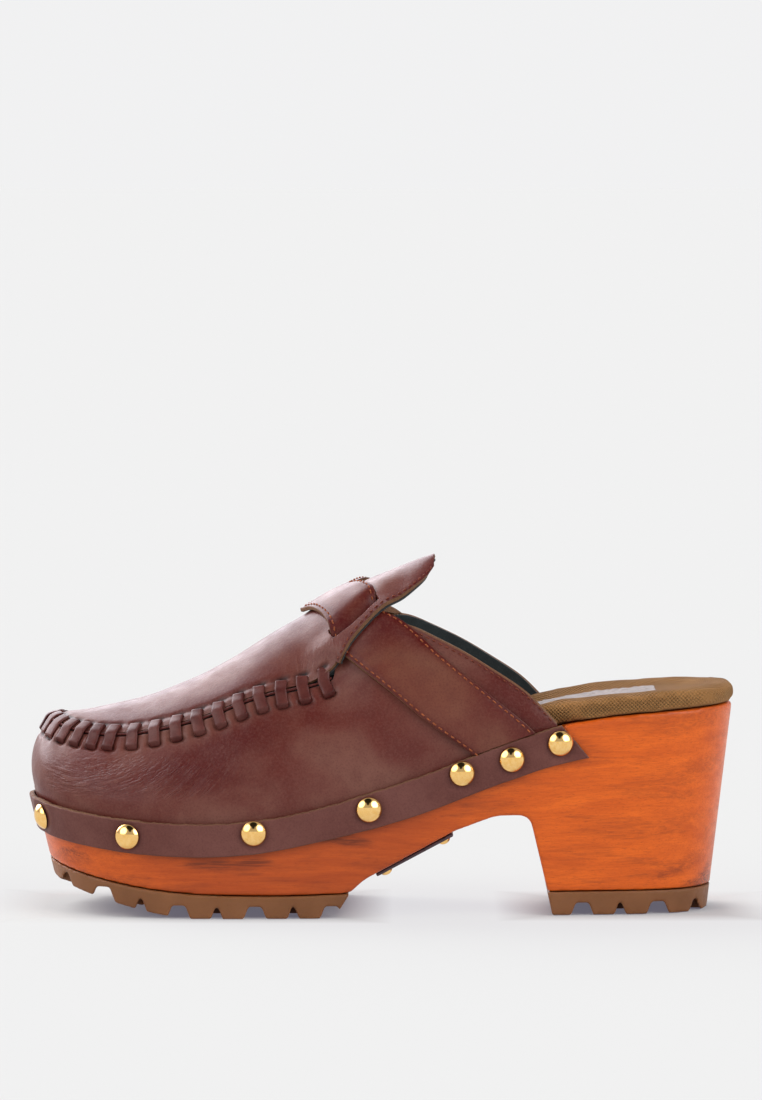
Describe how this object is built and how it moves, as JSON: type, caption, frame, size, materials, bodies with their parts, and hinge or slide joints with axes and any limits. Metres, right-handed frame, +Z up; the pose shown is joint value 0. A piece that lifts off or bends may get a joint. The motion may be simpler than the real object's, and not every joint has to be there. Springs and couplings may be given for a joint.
{
  "type": "wooden platform clog",
  "caption": "Closed-toe mule clog: leather upper with a laced apron and saddle strap, nailed to a wooden platform sole with a block heel and lugged rubber.",
  "frame": {"origin": "centre of the footprint on the ground, under the middle of the bounding box", "axes": "+X from toe to heel, -Y towards the outer side of this left clog, +Z up"},
  "size_m": [0.2496, 0.0991, 0.1248],
  "materials": {
    "stained_wood": "orange-brown stain under a satin lacquer, grain along the shoe",
    "gum_rubber": "matte gum brown",
    "foam": "soft open foam, hidden",
    "canvas": "tan-brown plain weave",
    "sock_fabric": "pale grey-beige, matte, unprinted",
    "burgundy_leather": "burnished burgundy-brown, semi-gloss",
    "rand_leather": "plum-brown, dull",
    "lining_felt": "blue-black, matte",
    "plate_board": "dark brown, satin",
    "brass": "polished gold-coloured"
  },
  "bodies": {
    "root": {"wood_sole": "stained_wood", "forepart_outsole": "gum_rubber", "heel_outsole": "gum_rubber", "footbed_pad": "foam", "footbed_cover": "canvas", "sock_patch": "sock_fabric", "vamp": "burgundy_leather", "apron": "burgundy_leather", "saddle_strap": "burgundy_leather", "whip_lace": "burgundy_leather", "rand": "rand_leather", "lining_outer_side": "lining_felt", "lining_inner_side": "lining_felt", "apron_lining": "lining_felt", "toe_puff": "lining_felt", "shank_plate": "plate_board", "nail_outer_1": "brass", "nail_outer_2": "brass", "nail_outer_3": "brass", "nail_outer_4": "brass", "nail_outer_5": "brass", "nail_outer_6": "brass", "nail_outer_7": "brass", "nail_inner_1": "brass", "nail_inner_2": "brass", "nail_inner_3": "brass", "nail_inner_4": "brass", "nail_inner_5": "brass", "nail_inner_6": "brass", "nail_inner_7": "brass", "plate_screw_front_outer": "brass", "plate_screw_front_inner": "brass", "plate_screw_rear_outer": "brass", "plate_screw_rear_inner": "brass"}
  },
  "joints": []
}
